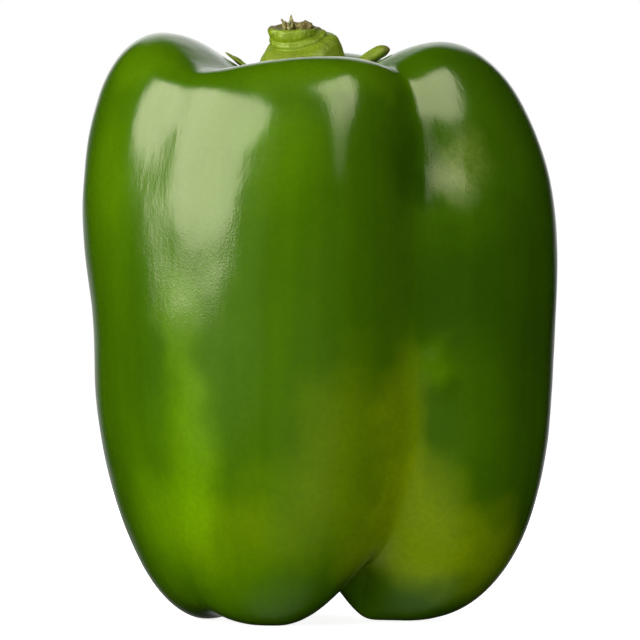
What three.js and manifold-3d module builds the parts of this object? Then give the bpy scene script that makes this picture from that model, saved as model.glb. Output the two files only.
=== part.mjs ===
// A four-lobed green bell pepper standing on its lobes, with its calyx and a short, torn stem.
// Millimetres, +Z up. The front lobe faces -Y, and bearings turn from there towards +X.
// The origin is on the surface that the pepper stands on, under the middle of its bounding box.
import * as THREE from 'three';
import { mergeVertices } from 'three/addons/utils/BufferGeometryUtils.js';
import Module from 'manifold-3d';

const lerp = THREE.MathUtils.lerp;
const radians = THREE.MathUtils.degToRad;

// ---------------------------------------------------------------- driving dimensions

const CAVITY_FLOOR = 93; // height of the skin under the calyx
const BLOSSOM_END = 11; // height of the skin between the feet
const FOOT = -0.35; // the lobes would reach this far down, and their own weight flattens them at 0
const GAP = 0.35; // clearance between two pieces

// A rib runs from the crest that rings the stem cavity, over the belly, down to the foot.
// Each of the three is [bearing in degrees, distance from the axis, height].
// square is the squareness of the arcs above and below the belly, where 2 is an ellipse.
// soft is how gently a furrow dips at the crest, belly and foot, from 0, a fold, to 1, a wide valley.
const FRONT_LOBE = { crest: [13, 24, 98.7], belly: [-5, 40, 62], foot: [-15, 19, FOOT], square: [2.3, 2.3] };
const RIGHT_LOBE = { crest: [80, 25, 102], belly: [82, 45.4, 66], foot: [75, 13.5, FOOT], square: [1.9, 3.05] };
const BACK_LOBE = { crest: [172, 24, 101.2], belly: [178, 42, 64], foot: [198, 17, FOOT], square: [2.2, 2.4] };
const LEFT_LOBE = { crest: [268, 24.1, 103.75], belly: [267, 38.9, 69.5], foot: [262, 16, FOOT], square: [2.32, 2.08] };
const FRONT_RIGHT_FURROW = {
  crest: [42, 23, 96.8], belly: [34, 34.8, 60], foot: [34, 15, 10], square: [2.2, 2.7], soft: [0.12, 0.5, 0.15],
};
const BACK_RIGHT_FURROW = {
  crest: [128, 27, 97.5], belly: [130, 37.5, 62], foot: [138, 15, 9], square: [2.2, 2.3], soft: [0.2, 0.4, 0.1],
};
const BACK_LEFT_FURROW = {
  crest: [220, 27, 96], belly: [222, 36, 62], foot: [230, 14, 6], square: [2.2, 2.3], soft: [0.2, 0.4, 0.2],
};
const FRONT_LEFT_FURROW = {
  crest: [323, 26, 96.3], belly: [318, 37.8, 60], foot: [308, 17, 1.3], square: [2.7, 2.25], soft: [0.3, 0.8, 0.8],
};
// Lobes and furrows take turns round the fruit, as a lobe with the furrow on its right.
const RIBS = [
  FRONT_LOBE, FRONT_RIGHT_FURROW,
  RIGHT_LOBE, BACK_RIGHT_FURROW,
  BACK_LOBE, BACK_LEFT_FURROW,
  LEFT_LOBE, FRONT_LEFT_FURROW,
];

// Shallow hollows in the skin. across is in degrees of bearing, and along and depth are in mm.
const HOLLOWS = [
  { bearing: 268, height: 53, depth: 1.5, across: 34, along: 10 },
  { bearing: 84, height: 44, depth: 0.45, across: 34, along: 9 },
];

// Sepals, 60 degrees apart from the first's bearing. tip is its distance from the axis, curl is how far
// the tip rises off the skin, and thick is its thickness there.
const FIRST_SEPAL = 25;
const SEPALS = [
  { tip: 14, curl: 0.8, thick: 1.2 },
  { tip: 16.4, curl: 0.8, thick: 3.2 },
  { tip: 14, curl: 0.8, thick: 1.2 },
  { tip: 15.5, curl: 1, thick: 1.3 },
  { tip: 14.5, curl: 0.3, thick: 0.9 },
  { tip: 14, curl: 1.2, thick: 1.2 },
];
const CALYX_WAIST = 10.8; // distance of the notches between sepals from the axis
const CALYX_EDGE = 1.1; // thickness at the notches
const BOSS_RADIUS = 8.8; // the level middle of the calyx that carries the stem
const BOSS_TOP = 97.3;

// The stem from base to cut. Each ring is [x, y, height, radius].
const STEM = [
  [0.2, 0, BOSS_TOP + GAP, 8.1],
  [0.3, 0, 98.8, 7.7],
  [0.5, 0, 100.9, 6.9],
  [0.2, 0, 102.6, 6],
  [-0.9, 0, 103.9, 4.9],
  [-1.7, 0, 104.5, 4.2],
];
const CUT_DISH = 0.5; // how far the torn end is hollow
const FIBRE = { length: 3.4, radius: 0.9, at: [-2.7, 1], lean: 8 };

// ---------------------------------------------------------------- mesh resolution

const COLUMNS_PER_SPAN = 9; // from one rib to the next
const CAVITY_ROWS = 8;
const UPPER_ROWS = 14;
const LOWER_ROWS = 16;
const UNDER_ROWS = 7;
const COLUMNS_PER_SEPAL = 8;
const CALYX_ROWS = 9;
const STEM_COLUMNS = 24;
const STEM_ROWS = 10;
const CAP_ROWS = 3;

// ---------------------------------------------------------------- helpers

// From 0 to 1, level at both ends.
const ease = (t) => (1 - Math.cos(Math.PI * t)) / 2;

// The turn from one bearing to another, between -180 and 180 degrees.
const turnBetween = (from, to) => ((to - from + 900) % 360) - 180;

function polar(bearing, distance, height) {
  const angle = radians(bearing);
  return new THREE.Vector3(distance * Math.sin(angle), -distance * Math.cos(angle), height);
}

// A closed surface: the grid of a sphere, with each vertex moved to pointAt(column, row).
// Row 0 is the top pole and the last row is the bottom pole.
function closedSurface(columns, rows, pointAt) {
  const geometry = new THREE.SphereGeometry(1, columns, rows);
  const position = geometry.getAttribute('position');
  for (let row = 0; row <= rows; row++) {
    for (let column = 0; column <= columns; column++) {
      const point = pointAt(column % columns, row);
      position.setXYZ(row * (columns + 1) + column, point.x, point.y, point.z);
    }
  }
  geometry.computeVertexNormals();
  return geometry;
}

function mesh(name, geometry, color, roughness) {
  const made = new THREE.Mesh(geometry, new THREE.MeshStandardMaterial({ color, roughness, metalness: 0 }));
  made.name = name;
  return made;
}

// ---------------------------------------------------------------- fruit

// A quarter of a squarish ellipse, from the level end of a rib (turn 0) to its belly (turn 1).
function arcPoint(end, belly, turn, square) {
  const sin = Math.sin((turn * Math.PI) / 2);
  const cos = Math.cos((turn * Math.PI) / 2);
  const reach = (sin ** square + cos ** square) ** (-1 / square);
  return {
    bearing: end[0] + turnBetween(end[0], belly[0]) * ease(turn),
    distance: lerp(end[1], belly[1], reach * sin),
    height: lerp(belly[2], end[2], reach * cos),
  };
}

// A level curve from the axis (0) out to a rib's crest or foot (1).
function innerPoint(end, axisHeight, outwards) {
  return {
    bearing: end[0],
    distance: end[1] * outwards,
    height: lerp(axisHeight, end[2], ease(outwards)),
  };
}

// A rib's point on a row of the mesh, and how softly it dips there.
function ribPoint(rib, row) {
  const { crest, belly, foot, square, soft = [0, 0, 0] } = rib;
  const upper = (row - CAVITY_ROWS) / UPPER_ROWS;
  const lower = upper > 1 ? (row - CAVITY_ROWS - UPPER_ROWS) / LOWER_ROWS : 0;
  if (upper <= 0)
    return { ...innerPoint(crest, CAVITY_FLOOR, row / CAVITY_ROWS), dip: soft[0] };
  if (upper <= 1)
    return { ...arcPoint(crest, belly, upper, square[0]), dip: lerp(soft[0], soft[1], upper) };
  if (lower <= 1)
    return { ...arcPoint(foot, belly, 1 - lower, square[1]), dip: lerp(soft[1], soft[2], lower) };
  const outwards = 1 - ((lower - 1) * LOWER_ROWS) / UNDER_ROWS;
  return { ...innerPoint(foot, BLOSSOM_END, outwards), dip: soft[2] };
}

// A point between a lobe's ridge (away 0) and the furrow beside it (away 1).
function between(lobe, furrow, away) {
  const rounded = (rise) => Math.hypot(rise, furrow.dip) - furrow.dip;
  const share = 1 - rounded(1 - away * away) / rounded(1);
  return {
    bearing: lobe.bearing + turnBetween(lobe.bearing, furrow.bearing) * away,
    distance: lerp(lobe.distance, furrow.distance, share),
    height: lerp(lobe.height, furrow.height, share),
  };
}

// How far the hollows take the skin in at a point.
function hollowAt(bearing, height) {
  let depth = 0;
  for (const hollow of HOLLOWS) {
    const across = turnBetween(hollow.bearing, bearing) / hollow.across;
    const along = (height - hollow.height) / hollow.along;
    depth += hollow.depth * Math.exp(-(across * across) - along * along);
  }
  return depth;
}

function fruitPoint(column, row) {
  const span = Math.floor(column / COLUMNS_PER_SPAN);
  const step = (column % COLUMNS_PER_SPAN) / COLUMNS_PER_SPAN;
  const lobeFirst = span % 2 === 0;
  const lobe = ribPoint(RIBS[lobeFirst ? span : (span + 1) % RIBS.length], row);
  const furrow = ribPoint(RIBS[lobeFirst ? span + 1 : span], row);
  const away = lobeFirst ? step : 1 - step;
  // Columns crowd together towards the furrow, where the skin bends most.
  const crowded = (away + Math.sin((away * Math.PI) / 2)) / 2;
  const { bearing, distance, height } = between(lobe, furrow, crowded);
  const onSide = row > CAVITY_ROWS;
  const out = onSide ? distance - hollowAt(bearing, height) : distance;
  return polar(bearing, out, Math.max(height, 0));
}

function makeFruit() {
  const rows = CAVITY_ROWS + UPPER_ROWS + LOWER_ROWS + UNDER_ROWS;
  const geometry = closedSurface(COLUMNS_PER_SPAN * RIBS.length, rows, fruitPoint);
  return mesh('fruit', geometry, 0x3f7a08, 0.22);
}

// ---------------------------------------------------------------- calyx

// Height of the cavity's skin at a bearing and a distance from the axis.
function cavityHeight(bearing, distance) {
  for (let i = 0; i < RIBS.length; i += 2) {
    for (const furrowRib of [RIBS[i + 1], RIBS[(i + RIBS.length - 1) % RIBS.length]]) {
      const lobe = ribPoint(RIBS[i], CAVITY_ROWS);
      const furrow = ribPoint(furrowRib, CAVITY_ROWS);
      const away = turnBetween(lobe.bearing, bearing) / turnBetween(lobe.bearing, furrow.bearing);
      if (away < 0 || away > 1) continue;
      const crest = between(lobe, furrow, away);
      return lerp(CAVITY_FLOOR, crest.height, ease(distance / crest.distance));
    }
  }
  throw new Error('no lobe at bearing ' + bearing);
}

function calyxPoint(column, row) {
  const sepal = SEPALS[Math.round(column / COLUMNS_PER_SEPAL) % SEPALS.length];
  const bearing = FIRST_SEPAL + (column * 360) / (COLUMNS_PER_SEPAL * SEPALS.length);
  const offTip = Math.abs(((column / COLUMNS_PER_SEPAL + 0.5) % 1) - 0.5) * 2;
  const edge = lerp(sepal.tip, CALYX_WAIST, Math.sin((offTip * Math.PI) / 2) ** 1.2);
  const onTop = row <= CALYX_ROWS;
  const outwards = (onTop ? row : 2 * CALYX_ROWS - row) / CALYX_ROWS;
  const distance = edge * outwards;
  const under = cavityHeight(bearing, distance) + GAP + sepal.curl * (1 - offTip) * outwards ** 3;
  if (!onTop)
    return polar(bearing, distance, under);
  const offBoss = THREE.MathUtils.smoothstep(distance, BOSS_RADIUS, CALYX_WAIST);
  const over = under + lerp(sepal.thick, CALYX_EDGE, offTip) * Math.sqrt(1 - outwards ** 8);
  return polar(bearing, distance, lerp(BOSS_TOP, over, offBoss));
}

function makeCalyx() {
  const geometry = closedSurface(COLUMNS_PER_SEPAL * SEPALS.length, 2 * CALYX_ROWS, calyxPoint);
  return mesh('calyx', geometry, 0x6c9a16, 0.5);
}

// ---------------------------------------------------------------- stem

const wasm = await Module();
wasm.setup();

function toSolid(geometry) {
  const bare = geometry.index ? geometry.clone() : mergeVertices(geometry);
  bare.deleteAttribute('normal');
  bare.deleteAttribute('uv');
  const merged = mergeVertices(bare);
  return new wasm.Manifold(new wasm.Mesh({
    numProp: 3,
    vertProperties: merged.getAttribute('position').array,
    triVerts: new Uint32Array(merged.index.array),
  }));
}

function toGeometry(solid) {
  const { vertProperties, triVerts } = solid.getMesh();
  const geometry = new THREE.BufferGeometry();
  geometry.setAttribute('position', new THREE.BufferAttribute(vertProperties, 3));
  geometry.setIndex(new THREE.BufferAttribute(triVerts, 1));
  geometry.computeVertexNormals();
  return geometry;
}

// The stem as level rings, closed by a dished cut above and a flat base below.
function stemPoint(column, row) {
  const centreline = new THREE.CatmullRomCurve3(STEM.map(([x, y, z]) => new THREE.Vector3(x, y, z)));
  const girth = new THREE.SplineCurve(STEM.map(([, , z, radius]) => new THREE.Vector2(radius, z)));
  const up = 1 - THREE.MathUtils.clamp((row - CAP_ROWS) / STEM_ROWS, 0, 1);
  const across = Math.min(row, 2 * CAP_ROWS + STEM_ROWS - row, CAP_ROWS) / CAP_ROWS;
  const ring = polar((column * 360) / STEM_COLUMNS, girth.getPoint(up).x * across, 0);
  const dish = row < CAP_ROWS ? CUT_DISH * (1 - across) : 0;
  return centreline.getPoint(up).add(ring).setZ(centreline.getPoint(up).z - dish);
}

function makeStem() {
  const trunk = toSolid(closedSurface(STEM_COLUMNS, 2 * CAP_ROWS + STEM_ROWS, stemPoint));
  const { length, radius, at, lean } = FIBRE;
  const [, , cut] = STEM.at(-1);
  const fibre = new THREE.ConeGeometry(radius, length, 6)
    .translate(0, length / 2, 0)
    .rotateX(Math.PI / 2)
    .rotateY(radians(lean))
    .translate(at[0], at[1], cut - 2 * CUT_DISH);
  return mesh('stem', toGeometry(trunk.add(toSolid(fibre))), 0x86a92c, 0.55);
}

// ---------------------------------------------------------------- assembly

const pepper = new THREE.Group();
pepper.add(makeFruit(), makeCalyx(), makeStem());

// Stand the pepper on the origin.
const middle = new THREE.Box3().setFromObject(pepper).getCenter(new THREE.Vector3());
pepper.position.set(-middle.x, -middle.y, 0);

export default pepper;
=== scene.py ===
"""A glossy green bell pepper standing on its lobes on a pale studio table.

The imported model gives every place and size. The skin and the calyx are refined copies of its
solids. The stem, its torn end and the loose fibres are modelled in their place.
"""
import math

import bpy
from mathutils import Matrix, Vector


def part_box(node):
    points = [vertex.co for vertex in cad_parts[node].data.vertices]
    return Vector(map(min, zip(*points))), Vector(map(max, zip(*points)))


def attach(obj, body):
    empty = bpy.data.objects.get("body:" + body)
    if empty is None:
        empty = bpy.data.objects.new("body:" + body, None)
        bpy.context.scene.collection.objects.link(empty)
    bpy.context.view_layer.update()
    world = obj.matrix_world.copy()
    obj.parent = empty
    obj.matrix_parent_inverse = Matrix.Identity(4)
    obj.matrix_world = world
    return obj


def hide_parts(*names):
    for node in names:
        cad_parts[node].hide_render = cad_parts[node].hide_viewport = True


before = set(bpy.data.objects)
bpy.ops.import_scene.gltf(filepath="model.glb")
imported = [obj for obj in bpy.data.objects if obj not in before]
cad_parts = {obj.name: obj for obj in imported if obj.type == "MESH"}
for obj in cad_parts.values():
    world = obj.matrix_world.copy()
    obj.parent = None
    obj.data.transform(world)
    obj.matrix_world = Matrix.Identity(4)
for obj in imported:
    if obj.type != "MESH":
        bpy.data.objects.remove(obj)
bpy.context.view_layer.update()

bl_info = {
    "name": "Bell Pepper",
    "version": (1, 0, 0),
    "blender": (4, 5, 0),
    "location": "3D View > Sidebar > Pepper",
    "description": "Models a green bell pepper around its packed model, with a plain studio",
    "category": "Object",
}

MM = 0.001
MERGE_DISTANCE = 0.002 * MM

# Middle of the stem's base, which is also the fruit's own axis.
STEM_LOW, STEM_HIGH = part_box("stem")
AXIS = Vector(((STEM_LOW.x + STEM_HIGH.x) / 2, (STEM_LOW.y + STEM_HIGH.y) / 2, 0))


def at(x, y, z):
    """A point given in millimetres from the fruit's axis, as metres in the frame."""
    return AXIS + Vector((x, y, z)) * MM


# ---------------------------------------------------------------- shader maths


class Wire:
    """A node's output. Arithmetic on it adds Math nodes, so that a mask reads as an expression."""

    def __init__(self, nodes, socket):
        self.nodes = nodes
        self.socket = socket

    def maths(self, operation, *terms):
        return self.nodes.node("ShaderNodeMath", {"operation": operation}, dict(enumerate(terms)))

    def __add__(self, other):
        return self.maths("ADD", self, other)

    def __sub__(self, other):
        return self.maths("SUBTRACT", self, other)

    def __rsub__(self, other):
        return self.maths("SUBTRACT", other, self)

    def __mul__(self, other):
        return self.maths("MULTIPLY", self, other)

    __radd__ = __add__
    __rmul__ = __mul__

    def rise(self, low, high):
        """0 where the value is low and 1 where it is high, smooth between; low may be above high."""
        ends = {"Value": self, "From Min": low, "From Max": high}
        return self.nodes.node("ShaderNodeMapRange", {"interpolation_type": "SMOOTHSTEP"}, ends)


class Nodes:
    """The node tree of a material or of the surroundings, under construction."""

    def __init__(self, owner, shader):
        owner.use_nodes = True
        self.tree = owner.node_tree
        self.shader = self.tree.nodes[shader]

    def node(self, kind, settings, inputs, output=0):
        """Adds a node, first its settings and then the values or links of its sockets."""
        node = self.tree.nodes.new(kind)
        for name, value in settings.items():
            setattr(node, name, value)
        for key, value in inputs.items():
            if isinstance(value, Wire):
                self.tree.links.new(value.socket, node.inputs[key])
            else:
                node.inputs[key].default_value = value
        return Wire(self, node.outputs[output])

    def vector(self, operation, a, b=(0, 0, 0), output=0):
        return self.node("ShaderNodeVectorMath", {"operation": operation}, {0: a, 1: b}, output)

    def component(self, vector, axis):
        return self.node("ShaderNodeSeparateXYZ", {}, {"Vector": vector}, axis)

    def set(self, **sockets):
        """Sets or links the shader's own sockets, named as in Blender with _ for a space."""
        for name, value in sockets.items():
            socket = self.shader.inputs[name.replace("_", " ")]
            if isinstance(value, Wire):
                self.tree.links.new(value.socket, socket)
            else:
                socket.default_value = value


class Finish(Nodes):
    """A material made of nodes."""

    MIX_FACTOR, MIX_A, MIX_B, MIX_RESULT = 0, 6, 7, 2

    def __init__(self, name):
        self.material = bpy.data.materials.new(name)
        super().__init__(self.material, "Principled BSDF")
        self.place = self.node("ShaderNodeTexCoord", {}, {}, "Object")

    def noise(self, size, detail=2.0, place=None, roughness=0.5):
        """Soft noise from 0 to 1 whose lumps are about size across, in metres."""
        shape = {"Scale": 1 / size, "Detail": detail, "Roughness": roughness}
        return self.node("ShaderNodeTexNoise", {}, {"Vector": place or self.place, **shape})

    def around(self, lobes, along):
        """Coordinates that turn with the bearing round the fruit's axis and stretch along its height."""
        off_axis = self.vector("SUBTRACT", self.place, AXIS)
        flat = self.vector("MULTIPLY", off_axis, (1, 1, 0))
        turn = self.vector("MULTIPLY", self.vector("NORMALIZE", flat), (lobes, lobes, 0))
        return self.vector("ADD", turn, self.vector("MULTIPLY", off_axis, (0, 0, along)))

    def spot(self, centre, radii, place=None):
        """1 at centre, falling smoothly to 0 at the radii, in metres."""
        offset = self.vector("SUBTRACT", place or self.place, centre)
        distance = self.vector("DIVIDE", offset, radii)
        return self.vector("LENGTH", distance, output="Value").rise(1.0, 0.25)

    def patches(self, patches, place):
        """Patches given as (centre, radii, strength) in millimetres from the fruit's axis, added up."""
        return sum(
            strength * self.spot(at(*centre), Vector(radii) * MM, place)
            for centre, radii, strength in patches
        )

    def mix(self, factor, a, b):
        inputs = {self.MIX_FACTOR: factor, self.MIX_A: opaque(a), self.MIX_B: opaque(b)}
        return self.node("ShaderNodeMix", {"data_type": "RGBA"}, inputs, self.MIX_RESULT)

    def bump(self, height, depth):
        """Links a bump, in which a height of 1 is worth depth in metres."""
        self.set(Normal=self.node("ShaderNodeBump", {}, {"Distance": depth, "Height": height}))


def opaque(colour):
    """A colour property as the four numbers that a colour socket takes."""
    return colour if isinstance(colour, Wire) else (*colour[:3], 1.0)


def darker(colour, share):
    """A colour property with this share of its brightness."""
    return tuple(share * part for part in colour)


# ---------------------------------------------------------------- mesh helpers


def only(piece):
    """Makes piece the one selected and active object."""
    bpy.ops.object.select_all(action="DESELECT")
    piece.select_set(True)
    bpy.context.view_layer.objects.active = piece


def refined_copy(node, name):
    """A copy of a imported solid, with its triangles merged into a surface of quads."""
    piece = bpy.data.objects.new(name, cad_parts[node].data.copy())
    piece.data.name = name
    bpy.context.collection.objects.link(piece)
    piece.data.materials.clear()
    only(piece)
    bpy.ops.object.mode_set(mode="EDIT")
    bpy.ops.mesh.select_all(action="SELECT")
    bpy.ops.mesh.customdata_custom_splitnormals_clear()
    bpy.ops.mesh.remove_doubles(threshold=MERGE_DISTANCE)
    bpy.ops.mesh.tris_convert_to_quads(face_threshold=math.pi, shape_threshold=math.pi)
    bpy.ops.object.mode_set(mode="OBJECT")
    return piece


def add_modifier(piece, kind, **settings):
    """Adds a modifier and applies it."""
    only(piece)
    bpy.ops.object.modifier_add(type=kind)
    modifier = piece.modifiers[-1]
    for name, value in settings.items():
        setattr(modifier, name, value)
    bpy.ops.object.modifier_apply(modifier=modifier.name)


def subdivide(piece, levels):
    add_modifier(piece, "SUBSURF", levels=levels, render_levels=levels)


def roughen(piece, size, depth):
    """Moves the surface in and out by soft noise, with lumps of about size and a height of depth."""
    texture = bpy.data.textures.new(piece.name + "_lumps", "CLOUDS")
    texture.noise_scale = size
    texture.noise_depth = 1
    add_modifier(
        piece, "DISPLACE", texture=texture, texture_coords="LOCAL", strength=depth, mid_level=0.5,
    )


def push(piece, centre, reach, move):
    """Pushes the vertex nearest to centre by move, and the skin around it less, out to reach."""
    only(piece)
    mesh = piece.data
    nearest = min(mesh.vertices, key=lambda vertex: (vertex.co - centre).length_squared)
    for element in (*mesh.vertices, *mesh.edges, *mesh.polygons):
        element.select = False
    nearest.select = True
    bpy.ops.object.mode_set(mode="EDIT")
    bpy.ops.transform.translate(
        value=move, use_proportional_edit=True, proportional_edit_falloff="SMOOTH",
        proportional_size=reach,
    )
    bpy.ops.object.mode_set(mode="OBJECT")


def select_vertices(piece, numbers):
    """In edit mode, selects just the vertices with these numbers."""
    bpy.ops.mesh.select_all(action="DESELECT")
    bpy.ops.object.mode_set(mode="OBJECT")
    for number in numbers:
        piece.data.vertices[number].select = True
    bpy.ops.object.mode_set(mode="EDIT")


def loft(name, rings, sides):
    """A closed skin over rings, each (centre, radius, pitch, roll); the first ring is level."""
    first_centre, first_radius = rings[0][:2]
    bpy.ops.object.select_all(action="DESELECT")
    bpy.ops.mesh.primitive_circle_add(vertices=sides, radius=first_radius, location=(0, 0, 0))
    piece = bpy.context.object
    piece.name = piece.data.name = name
    bpy.ops.object.mode_set(mode="EDIT")
    bpy.ops.mesh.select_mode(type="VERT")
    bpy.ops.mesh.select_all(action="SELECT")
    bpy.ops.transform.translate(value=first_centre)
    for centre, radius, pitch, roll in rings[1:]:
        bpy.ops.mesh.primitive_circle_add(
            vertices=sides, radius=radius, location=centre, rotation=(pitch, -roll, 0),
        )
    for lower in range(len(rings) - 1):
        select_vertices(piece, range(lower * sides, (lower + 2) * sides))
        bpy.ops.mesh.bridge_edge_loops()
    for end in (0, len(rings) - 1):
        select_vertices(piece, range(end * sides, (end + 1) * sides))
        bpy.ops.mesh.edge_face_add()
        bpy.ops.mesh.poke()
    bpy.ops.mesh.select_all(action="SELECT")
    bpy.ops.mesh.normals_make_consistent(inside=False)
    bpy.ops.object.mode_set(mode="OBJECT")
    return piece


def finish_piece(piece, finish, replaces=None):
    """Gives a piece its material and its place in the frame."""
    only(piece)
    bpy.ops.object.shade_smooth()
    piece.data.materials.clear()
    piece.data.materials.append(finish.material)
    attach(piece, "root")
    if replaces:
        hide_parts(replaces)


# ---------------------------------------------------------------- settings


def colour(name, description, default):
    return bpy.props.FloatVectorProperty(
        name=name, description=description, default=default, subtype="COLOR", size=3, min=0, max=1,
    )


def length(name, description, default):
    return bpy.props.FloatProperty(name=name, description=description, default=default, unit="LENGTH")


def fraction(name, description, default):
    return bpy.props.FloatProperty(
        name=name, description=description, default=default, subtype="FACTOR", min=0, max=1,
    )


def power(name, description, default):
    return bpy.props.FloatProperty(name=name, description=description, default=default, unit="POWER")


def angle(name, description, default):
    return bpy.props.FloatProperty(
        name=name, description=description, default=math.radians(default), subtype="ANGLE",
    )


class SkinSettings(bpy.types.PropertyGroup):
    green: colour("Green", "Main colour of the skin", (0.086, 0.216, 0.0))
    # Also the colour of the painted shade in the furrows and on the flanks.
    deep_green: colour("Deep green", "Skin in the hollows", (0.026, 0.088, 0.0))
    # Colour of the paler bands, which also carry painted sheen, a painted highlight and painted light on
    # the tops.
    pale_and_lit_green: colour("Fresh green", "Skin on the paler bands", (0.18, 0.39, 0.0))
    # Also the colour of painted light in the shaded furrow near the feet.
    yellow_green: colour("Yellow green", "Skin that has begun to ripen", (0.27, 0.41, 0.0))
    # Colour of the painted highlight on the right lobe.
    painted_highlight: colour("Bloom", "Dull bloom on the right lobe", (0.27, 0.40, 0.05))
    roughness: fraction("Roughness", "Roughness of the waxy skin", 0.12)
    waviness: length("Waviness", "Height of the gentle waves in the skin", 0.32 * MM)


class CalyxSettings(bpy.types.PropertyGroup):
    green: colour("Green", "Colour of the sepals", (0.32, 0.45, 0.015))
    dry_brown: colour("Dry brown", "Colour of the dried tips", (0.17, 0.09, 0.025))


class StemSettings(bpy.types.PropertyGroup):
    flesh: colour("Flesh", "Colour of the stem", (0.31, 0.45, 0.01))
    pale_flesh: colour("Pale flesh", "Colour of the stem near its base", (0.55, 0.66, 0.10))
    torn_brown: colour("Torn brown", "Colour of the dried, torn end", (0.19, 0.12, 0.035))
    torn_green: colour("Torn green", "Flecks in the torn end that are still fresh", (0.34, 0.31, 0.07))
    straw: colour("Straw", "Colour of the loose fibres", (0.48, 0.40, 0.11))
    fibre_green: colour("Fibre green", "Streaks along the fibres", (0.10, 0.13, 0.03))


class StudioSettings(bpy.types.PropertyGroup):
    distance: length("Camera distance", "From the camera to the pepper's axis", 1.1)
    elevation: angle("Camera elevation", "How far the camera looks down", 0.5)
    aim_height: length("Aim height", "Height of the point that the camera looks at", 52.85 * MM)
    lens: bpy.props.FloatProperty(name="Lens", description="Focal length", default=350, unit="CAMERA")
    key: power("Key", "Power of the soft light that comes from the left", 3.4)
    top: power("Top light", "Power of the weak light from above", 0.7)
    back: power("Back light", "Power of the soft light from behind", 1.6)
    front: power("Front light", "Power of the weak light from the front", 1.2)
    window: power("Window", "Power of the windows that mirror in the skin", 12.6)
    fill: fraction("Fill", "Brightness of the surroundings", 0.14)


# ---------------------------------------------------------------- finishes


# Each patch is (centre from the axis, radii, strength), in millimetres.
# Where the skin has begun to ripen, mostly round the feet; the patches in the furrow right of the front
# lobe also hold painted light that lifts its shade.
RIPE_AND_LIT_PATCHES = (
    ((10, -39, 30), (16, 16, 22), 0.5),
    ((-3, -40, 17), (18, 16, 14), 0.4),
    ((-18, -33, 14), (16, 18, 14), 0.2),
    ((21, -28, 17), (12, 24, 18), 0.8),
    ((17, -28, 34), (6, 20, 22), 0.7),
    ((14, -24, 14), (12, 20, 14), 0.8),
    ((32, -20, 11), (14, 24, 12), 0.8),
)
# Paler skin down the lobes, with painted light: a painted sheen down the lower left, a painted highlight
# on the right lobe at mid-height and lighter tops where the light from above falls.
PALE_AND_LIT_BANDS = (
    ((-21, -33, 50), (5.5, 14, 20), 0.4),
    ((-19, -34, 28), (7, 16, 20), 0.7),
    ((-24, -29, 16), (14, 20, 16), 0.7),
    ((-36, -20, 80), (9, 12, 18), 0.3),
    ((24, -25, 46), (6, 16, 6), 0.6),
    ((10, -30, 96), (26, 20, 6), 0.5),
    ((-28, -16, 99), (15, 16, 9), 0.35),
    ((-4, -38, 82), (11, 12, 13), 0.28),
)
# Painted shade: darker skin in the furrows beside the front lobe and down the flanks that turn from the
# key light, partly the skin's own deeper green.
PAINTED_SHADE_PATCHES = (
    ((-34, -22, 44), (8, 16, 20), 0.2),
    ((-27.5, -28, 50), (5, 16, 28), 0.4),
    ((-37, -16, 24), (7, 16, 14), 0.3),
    ((19, -30, 82), (6, 14, 14), 0.5),
    ((23, -27, 77), (5, 14, 8), 0.4),
    ((27, -28, 58), (13, 14, 17), 0.5),
    ((37, -18, 58), (10, 16, 30), 0.3),
)
# A painted highlight on the right lobe: a dull, pale, grainy patch of painted reflection.
PAINTED_HIGHLIGHT_PATCH = (((28.5, -24, 80), (7, 14, 8), 0.6),)


def skin_finish(settings):
    """Waxy green skin: streaks down the lobes, painted shade in the hollows, ripening patches with
    painted light, painted sheen and a painted highlight.
    """
    finish = Finish("pepper_skin")
    # The patches' outlines wander by up to half of this, in metres.
    wander = (0.008, 0.008, 0.014)
    drift = finish.node("ShaderNodeTexNoise", {}, {"Vector": finish.place, "Scale": 90}, "Color")
    shift = finish.vector("MULTIPLY", finish.vector("SUBTRACT", drift, (0.5, 0.5, 0.5)), wander)
    place = finish.vector("ADD", finish.place, shift)
    # Real ripening patches, some of which also paint light into the shaded furrow near the feet.
    ripe_and_lit = finish.patches(RIPE_AND_LIT_PATCHES, place)
    # Paler skin mixed with painted light: painted sheen, a painted highlight and lit tops.
    pale = finish.patches(PALE_AND_LIT_BANDS, place)
    # Painted shade in the furrows and on the flanks turned from the key light.
    painted_shade = finish.patches(PAINTED_SHADE_PATCHES, place)
    # Grain and patch of the painted highlight on the right lobe.
    highlight_grain = finish.noise(1.2 * MM, 3.0, roughness=0.7).rise(0.3, 0.7)
    painted_highlight = finish.patches(PAINTED_HIGHLIGHT_PATCH, place) * (0.7 + 0.6 * highlight_grain)
    streaks = finish.noise(1.0, 3.0, finish.around(14, 25)).rise(0.3, 0.7)
    mottle = finish.noise(0.9 * MM, 2.0).rise(0.3, 0.7)
    clouds = finish.noise(9 * MM, 2.0).rise(0.3, 0.7)
    green = finish.mix(streaks * 0.12 + clouds * 0.1, settings.green, settings.deep_green)
    green = finish.mix(pale, green, settings.pale_and_lit_green)
    green = finish.mix(painted_shade, green, settings.deep_green)
    green = finish.mix(ripe_and_lit, green, settings.yellow_green)
    green = finish.mix(painted_highlight, green, settings.painted_highlight)
    tint = finish.mix(mottle * 0.12, green, settings.deep_green)
    pores = finish.noise(0.35 * MM, 2.0)
    roughness = settings.roughness + 0.06 * finish.noise(6 * MM, 3.0)
    finish.set(Base_Color=tint, Roughness=roughness, IOR=1.45)
    grain = finish.noise(1.0, 3.0, finish.around(40, 300))
    finish.bump(pores + 1.3 * grain, 0.018 * MM)
    return finish


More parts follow.
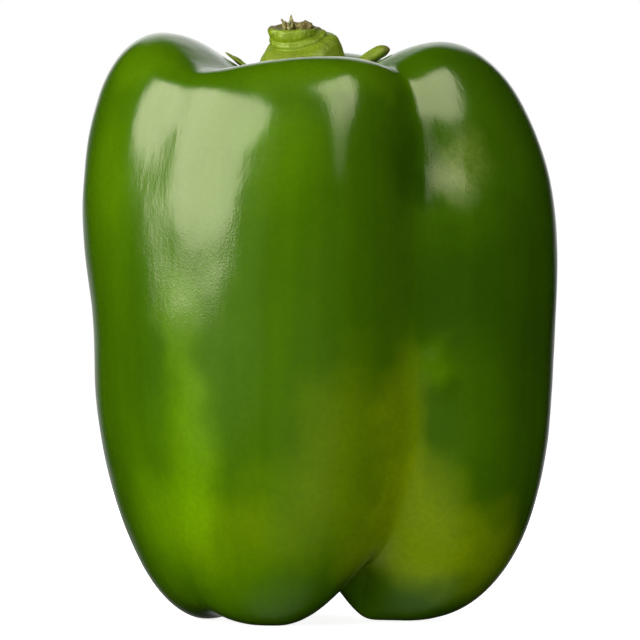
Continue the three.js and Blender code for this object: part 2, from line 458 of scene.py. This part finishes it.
def calyx_finish(settings):
    """Leathery green sepals, veined lengthwise and dried brown at their tips."""
    finish = Finish("pepper_calyx")
    off_axis = finish.vector("MULTIPLY", finish.vector("SUBTRACT", finish.place, AXIS), (1, 1, 0))
    reach = finish.vector("LENGTH", off_axis, output="Value")
    dry = (reach + 2 * MM * finish.noise(1.5 * MM, 3.0)).rise(15 * MM, 16.2 * MM)
    veins = finish.noise(1.0, 2.0, finish.around(22, 60))
    green = finish.mix(veins.rise(0.35, 0.7) * 0.45, settings.green, darker(settings.green, 0.6))
    tint = finish.mix(dry * 0.8, green, settings.dry_brown)
    finish.set(Base_Color=tint, Roughness=0.5, Specular_IOR_Level=0.25)
    finish.bump(veins + 0.8 * finish.noise(0.8 * MM, 3.0), 0.2 * MM)
    return finish


def stem_finish(settings):
    """Juicy yellow-green flesh, ribbed lengthwise, paler near its base and browned at the torn rim."""
    finish = Finish("pepper_stem")
    height = finish.component(finish.place, "Z")
    ribs = finish.noise(1.0, 3.0, finish.around(9, 80))
    pale = height.rise(100.5 * MM, 97.5 * MM)
    rim = (height + MM * finish.noise(1.2 * MM, 3.0)).rise(104.3 * MM, 105.1 * MM)
    flesh = finish.mix(ribs.rise(0.35, 0.75) * 0.3, settings.flesh, darker(settings.flesh, 0.55))
    flesh = finish.mix(pale * 0.45, flesh, settings.pale_flesh)
    tint = finish.mix(rim * 0.8, flesh, settings.torn_brown)
    finish.set(Base_Color=tint, Roughness=0.42, Specular_IOR_Level=0.3)
    finish.bump(0.5 * ribs + 0.8 * finish.noise(0.8 * MM, 3.0), 0.2 * MM)
    return finish


def torn_finish(settings):
    """Dried, fibrous brown where the stem was torn off."""
    finish = Finish("pepper_torn_end")
    grain = finish.noise(0.35 * MM, 4.0, roughness=0.7)
    brown = finish.mix(grain.rise(0.35, 0.65), settings.torn_brown, settings.torn_green)
    finish.set(Base_Color=brown, Roughness=0.8)
    finish.bump(grain, 0.2 * MM)
    return finish


def fibre_finish(settings):
    """Straw-coloured fibres with green streaks along them."""
    finish = Finish("pepper_fibre")
    along = finish.vector("MULTIPLY", finish.place, (3, 3, 0.5))
    grain = finish.noise(0.6 * MM, 2.0, along)
    straw = finish.mix(grain.rise(0.4, 0.62), settings.straw, settings.fibre_green)
    finish.set(Base_Color=straw, Roughness=0.6)
    finish.bump(grain, 0.08 * MM)
    return finish


# ---------------------------------------------------------------- pieces


class PEPPER_OT_skin(bpy.types.Operator):
    """Refine the fruit into a smooth, gently wavy skin"""

    bl_idname = "pepper.skin"
    bl_label = "Skin"

    # Dents, and one small bulge: centre from the axis, reach and how far the skin moves, in millimetres.
    DENTS = (
        ((23, -26, 82), 8, (-0.2, 0.6, -0.15)),
        ((29, -23, 80.5), 8.5, (-0.4, 0.7, -0.2)),
        ((34, -19, 79), 8, (-0.4, 0.45, -0.15)),
        ((22.5, -30, 44), 6.5, (0.2, -0.9, 0)),
        ((-24.5, -29, 90), 11, (0.35, 0.45, 0.1)),
        ((-27.5, -27, 82), 9, (0.25, 0.35, 0)),
    )

    def execute(self, context):
        settings = context.scene.pepper_skin
        skin = refined_copy("fruit", "skin")
        subdivide(skin, 2)
        for centre, reach, move in self.DENTS:
            push(skin, at(*centre), reach * MM, Vector(move) * MM)
        roughen(skin, 14 * MM, settings.waviness)
        roughen(skin, 4 * MM, 0.2 * settings.waviness)
        finish_piece(skin, skin_finish(settings), replaces="fruit")
        return {"FINISHED"}


class PEPPER_OT_calyx(bpy.types.Operator):
    """Refine the calyx into leathery sepals that rest on the skin"""

    bl_idname = "pepper.calyx"
    bl_label = "Calyx"

    # The right sepal is drawn out to its tip. In millimetres.
    TIP, TIP_REACH, TIP_MOVE = (16.3, -1.4, 100.5), 4.5, (0.5, 0, 0.2)

    def execute(self, context):
        settings = context.scene.pepper_calyx
        calyx = refined_copy("calyx", "calyx_leaves")
        subdivide(calyx, 2)
        push(calyx, at(*self.TIP), self.TIP_REACH * MM, Vector(self.TIP_MOVE) * MM)
        roughen(calyx, 4 * MM, 0.7 * MM)
        roughen(calyx, 1.2 * MM, 0.25 * MM)
        finish_piece(calyx, calyx_finish(settings), replaces="calyx")
        return {"FINISHED"}


class PEPPER_OT_stem(bpy.types.Operator):
    """Build the stem from its flared base to the lip round its torn end"""

    bl_idname = "pepper.stem"
    bl_label = "Stem"

    SIDES = 28
    # Each ring is (x, height, radius, forward tilt, rise to the right), in millimetres and degrees.
    RINGS = (
        (0.1, 97.0, 8.6, 0, 0),
        (0.1, 98.4, 7.9, 2, 1),
        (0.0, 100.0, 7.2, 7, 3),
        (0.0, 101.4, 6.45, 14, 6),
        (-0.3, 102.3, 5.75, 21, 10),
        (-0.8, 102.3, 4.75, 23, 11),
        (-0.95, 102.9, 5.1, 25, 12),
        (-1.3, 103.3, 4.75, 24, 10),
        (-1.45, 103.3, 4.1, 23, 9),
        (-1.7, 103.7, 4.45, 21, 7),
        (-1.8, 104.3, 4.35, 14, 4),
        (-1.85, 104.6, 3.9, 10, 1),
        (-1.85, 104.35, 3.1, 8, 0),
        (-1.85, 104.0, 1.6, 4, 0),
    )

    def execute(self, context):
        settings = context.scene.pepper_stem
        rings = [
            (at(x, 0, height), radius * MM, math.radians(pitch), math.radians(roll))
            for x, height, radius, pitch, roll in self.RINGS
        ]
        stem = loft("stem_flesh", rings, self.SIDES)
        subdivide(stem, 3)
        roughen(stem, 3.5 * MM, 0.8 * MM)
        roughen(stem, 1.2 * MM, 0.15 * MM)
        finish_piece(stem, stem_finish(settings), replaces="stem")
        return {"FINISHED"}


class PEPPER_OT_torn_end(bpy.types.Operator):
    """Build the rough, dried lump where the stem was torn"""

    bl_idname = "pepper.torn_end"
    bl_label = "Torn end"

    CENTRE, RADII = (0.1, 0.2, 104.65), (2.0, 1.8, 0.95)  # in millimetres

    def execute(self, context):
        settings = context.scene.pepper_stem
        bpy.ops.object.select_all(action="DESELECT")
        bpy.ops.mesh.primitive_ico_sphere_add(subdivisions=6, radius=1)
        lump = context.object
        lump.name = lump.data.name = "stem_torn_end"
        bpy.ops.object.mode_set(mode="EDIT")
        bpy.ops.mesh.select_all(action="SELECT")
        bpy.ops.transform.resize(value=Vector(self.RADII) * MM)
        bpy.ops.transform.translate(value=at(*self.CENTRE))
        bpy.ops.object.mode_set(mode="OBJECT")
        roughen(lump, 1.5 * MM, 1.5 * MM)
        roughen(lump, 0.5 * MM, 0.35 * MM)
        finish_piece(lump, torn_finish(settings))
        return {"FINISHED"}


class PEPPER_OT_fibres(bpy.types.Operator):
    """Build the loose fibres that stand up from the torn end"""

    bl_idname = "pepper.fibres"
    bl_label = "Fibres"

    SIDES, STEPS = 8, 5
    FOOT = 103.9  # height of the fibres' feet, in millimetres
    BOW = 0.25  # how far a fibre bends to the right at its middle
    # Each fibre is (x, y, lean to the right, lean back, length, radius), in millimetres and degrees.
    FIBRES = (
        (-2.9, -0.6, 16, 4, 2.9, 0.55),
        (-3.3, -0.9, -14, -6, 2.1, 0.5),
        (-2.4, -1.0, -24, 8, 1.8, 0.45),
        (-2.2, -0.4, 6, -12, 2.2, 0.4),
    )

    def execute(self, context):
        settings = context.scene.pepper_stem
        finish = fibre_finish(settings)
        for number, (x, y, right, back, tall, radius) in enumerate(self.FIBRES, 1):
            lean = Vector((math.tan(math.radians(right)), math.tan(math.radians(back)), 1))
            rings = []
            for step in range(self.STEPS + 1):
                up = step / self.STEPS
                centre = at(x, y, self.FOOT) + lean * (tall * up * MM)
                bow = self.BOW * MM * math.sin(math.pi * up)
                tapered = radius * MM * (1 - 0.8 * up * up)
                rings.append((centre + Vector((bow, 0, 0)), tapered, 0, 0))
            fibre = loft("stem_fibre_%d" % number, rings, self.SIDES)
            subdivide(fibre, 2)
            roughen(fibre, 0.6 * MM, 0.3 * MM)
            finish_piece(fibre, finish)
        return {"FINISHED"}


# ---------------------------------------------------------------- stage

LAMP_DISTANCE = 0.6
LAMP_TARGET = Vector((0, 0, 0.07))
WINDOW_COLOUR = (1.0, 0.93, 0.68)
RIGHT_WINDOW_SHARE = 0.53  # of the left window's power
TABLE_SIZE = 3
TABLE_GLOW = 0.91


def aimed(thing, name, place, target):
    """Places a lamp or camera, looking at target."""
    holder = bpy.data.objects.new(name, thing)
    holder.location = place
    holder.rotation_euler = (target - place).to_track_quat("-Z", "Y").to_euler()
    bpy.context.scene.collection.objects.link(holder)
    return holder


def toward(bearing, elevation, distance, centre):
    """The point at a distance from centre; bearings turn from the camera towards the right."""
    turn, up = math.radians(bearing), math.radians(elevation)
    flat = math.cos(up)
    return centre + distance * Vector((flat * math.sin(turn), -flat * math.cos(turn), math.sin(up)))


def lamp_at(name, bearing, elevation, size, power):
    """A rectangular lamp that faces the pepper."""
    lamp = bpy.data.lights.new(name, "AREA")
    lamp.shape = "RECTANGLE"
    lamp.size, lamp.size_y = size
    lamp.energy = power
    return aimed(lamp, name, toward(bearing, elevation, LAMP_DISTANCE, LAMP_TARGET), LAMP_TARGET)


def soft_lamp(name, bearing, elevation, size, power):
    """A lamp that lights the surfaces and doesn't mirror in them."""
    lamp_at(name, bearing, elevation, size, power).visible_glossy = False


def mirrored_window(name, bearing, elevation, size, power, shape):
    """A lamp that only mirrors in glossy surfaces; shape(across, up) gives its brightness."""
    holder = lamp_at(name, bearing, elevation, size, power)
    holder.visible_diffuse = False
    holder.data.color = WINDOW_COLOUR
    pane = Nodes(holder.data, "Emission")
    spot = pane.node("ShaderNodeNewGeometry", {}, {}, "Parametric")
    pane.set(Strength=shape(pane.component(spot, "X"), pane.component(spot, "Y")))


def left_pane(across, up):
    """Narrowing towards its foot, where it is also dimmer and ends in a faint glow."""
    right_edge = 0.62 + 0.2 * up.rise(0.03, 0.25) + 0.12 * up.rise(0.3, 0.7)
    outside_left = (1 - across.rise(0.045, 0.08)) * up.rise(0.45, 0.33)
    foot = 0.3 * up.rise(0.03, 0.06) + 0.7 * up.rise(0.07, 0.09)
    dimming = 0.65 + 0.35 * up.rise(0.06, 0.22)
    return (right_edge - across).rise(-0.01, 0.03) * foot * dimming * (1 - 0.7 * outside_left)


def right_pane(across, up):
    """Narrow and dim at its foot, wide and bright at its top, with soft edges."""
    right_edge = 0.3 + 0.6 * up.rise(0.0, 0.95)
    sides = across.rise(0.0, 0.12) * (right_edge - across).rise(-0.04, 0.06)
    return sides * up.rise(0.0, 0.08) * (0.22 + 0.78 * up.rise(0.15, 0.6))


class PEPPER_OT_camera(bpy.types.Operator):
    """Set up the camera, level with the pepper"""

    bl_idname = "pepper.camera"
    bl_label = "Camera"

    def execute(self, context):
        settings = context.scene.pepper_studio
        camera = bpy.data.cameras.new("camera")
        camera.lens = settings.lens
        camera.clip_end = 20
        target = Vector((0, 0, settings.aim_height))
        place = toward(0, math.degrees(settings.elevation), settings.distance, target)
        context.scene.camera = aimed(camera, "camera", place, target)
        return {"FINISHED"}


class PEPPER_OT_stage(bpy.types.Operator):
    """Set up the pale table, the white surroundings and the soft lights"""

    bl_idname = "pepper.stage"
    bl_label = "Stage"

    def execute(self, context):
        settings = context.scene.pepper_studio
        context.scene.view_settings.view_transform = "Standard"
        self.make_table(context)
        self.make_lights(settings)
        self.make_surroundings(context, settings)
        return {"FINISHED"}

    def make_table(self, context):
        """A white table, which neither lights the pepper nor mirrors in it."""
        bpy.ops.object.select_all(action="DESELECT")
        bpy.ops.mesh.primitive_plane_add(size=TABLE_SIZE)
        table = context.object
        table.name = table.data.name = "table"
        white = Finish("white_table")
        white.set(Base_Color=(0.9, 0.9, 0.9, 1), Roughness=0.9, Specular_IOR_Level=0.0)
        white.set(Emission_Color=(1, 1, 1, 1), Emission_Strength=TABLE_GLOW)
        table.data.materials.append(white.material)
        table.visible_glossy = False
        table.visible_diffuse = False

    def make_lights(self, settings):
        """Soft lamps round the pepper, each at a bearing and elevation, and the mirrored windows."""
        right_power = RIGHT_WINDOW_SHARE * settings.window
        soft_lamp("soft_key", -52, 8, (0.7, 0.6), settings.key)
        soft_lamp("top_light", -10, 62, (0.5, 0.5), settings.top)
        soft_lamp("back_light", 180, 20, (0.4, 0.4), settings.back)
        soft_lamp("front_light", 14, -28, (0.6, 0.6), settings.front)
        mirrored_window("left_window", -60, 24.5, (0.665, 0.68), settings.window, left_pane)
        mirrored_window("right_window", 54, 43, (0.46, 0.7), right_power, right_pane)

    def make_surroundings(self, context, settings):
        """White to the eye, dim as a light, and in reflections a tall white card behind the pepper."""
        world = bpy.data.worlds.new("white_surroundings")
        context.scene.world = world
        sky = Nodes(world, "Background")
        direction = sky.node("ShaderNodeTexCoord", {}, {}, "Generated")
        side, back, up = (sky.component(direction, axis) for axis in "XYZ")
        seen = sky.node("ShaderNodeLightPath", {}, {}, "Is Camera Ray")
        mirrored = sky.node("ShaderNodeLightPath", {}, {}, "Is Glossy Ray")
        card_height = up.rise(-0.05, 0.1) * up.rise(0.62, 0.5)
        card = (side * side).rise(0.09, 0.015) * back.rise(0.5, 0.7) * card_height
        rim = back.rise(0.88, 1.0) * up.rise(-0.35, -0.05)
        shine = card * 0.9 + rim * 0.4 + up.rise(-0.8, -1.0) * 0.2 + 0.002
        fill = settings.fill * (1 + 0.5 * up)
        lighting = (1 - seen) * (1 - mirrored) * fill
        sky.set(Color=(1, 1, 1, 1), Strength=seen + mirrored * shine + lighting)


class PEPPER_PT_panel(bpy.types.Panel):
    """Lists the steps in the order in which they are run"""

    bl_idname = "PEPPER_PT_panel"
    bl_label = "Bell Pepper"
    bl_space_type = "VIEW_3D"
    bl_region_type = "UI"
    bl_category = "Pepper"

    def draw(self, context):
        for step in STEPS:
            self.layout.operator(step.bl_idname)


STEPS = (
    PEPPER_OT_camera,
    PEPPER_OT_skin,
    PEPPER_OT_calyx,
    PEPPER_OT_stem,
    PEPPER_OT_torn_end,
    PEPPER_OT_fibres,
    PEPPER_OT_stage,
)
SETTINGS = {
    "pepper_skin": SkinSettings,
    "pepper_calyx": CalyxSettings,
    "pepper_stem": StemSettings,
    "pepper_studio": StudioSettings,
}
CLASSES = (*SETTINGS.values(), *STEPS, PEPPER_PT_panel)


def register():
    for cls in CLASSES:
        bpy.utils.register_class(cls)
    for name, group in SETTINGS.items():
        setattr(bpy.types.Scene, name, bpy.props.PointerProperty(type=group))


def unregister():
    for name in SETTINGS:
        delattr(bpy.types.Scene, name)
    for cls in reversed(CLASSES):
        bpy.utils.unregister_class(cls)


def main():
    register()
    for step in STEPS:
        group, name = step.bl_idname.split(".")
        getattr(getattr(bpy.ops, group), name)()


if __name__ == "__main__":
    main()
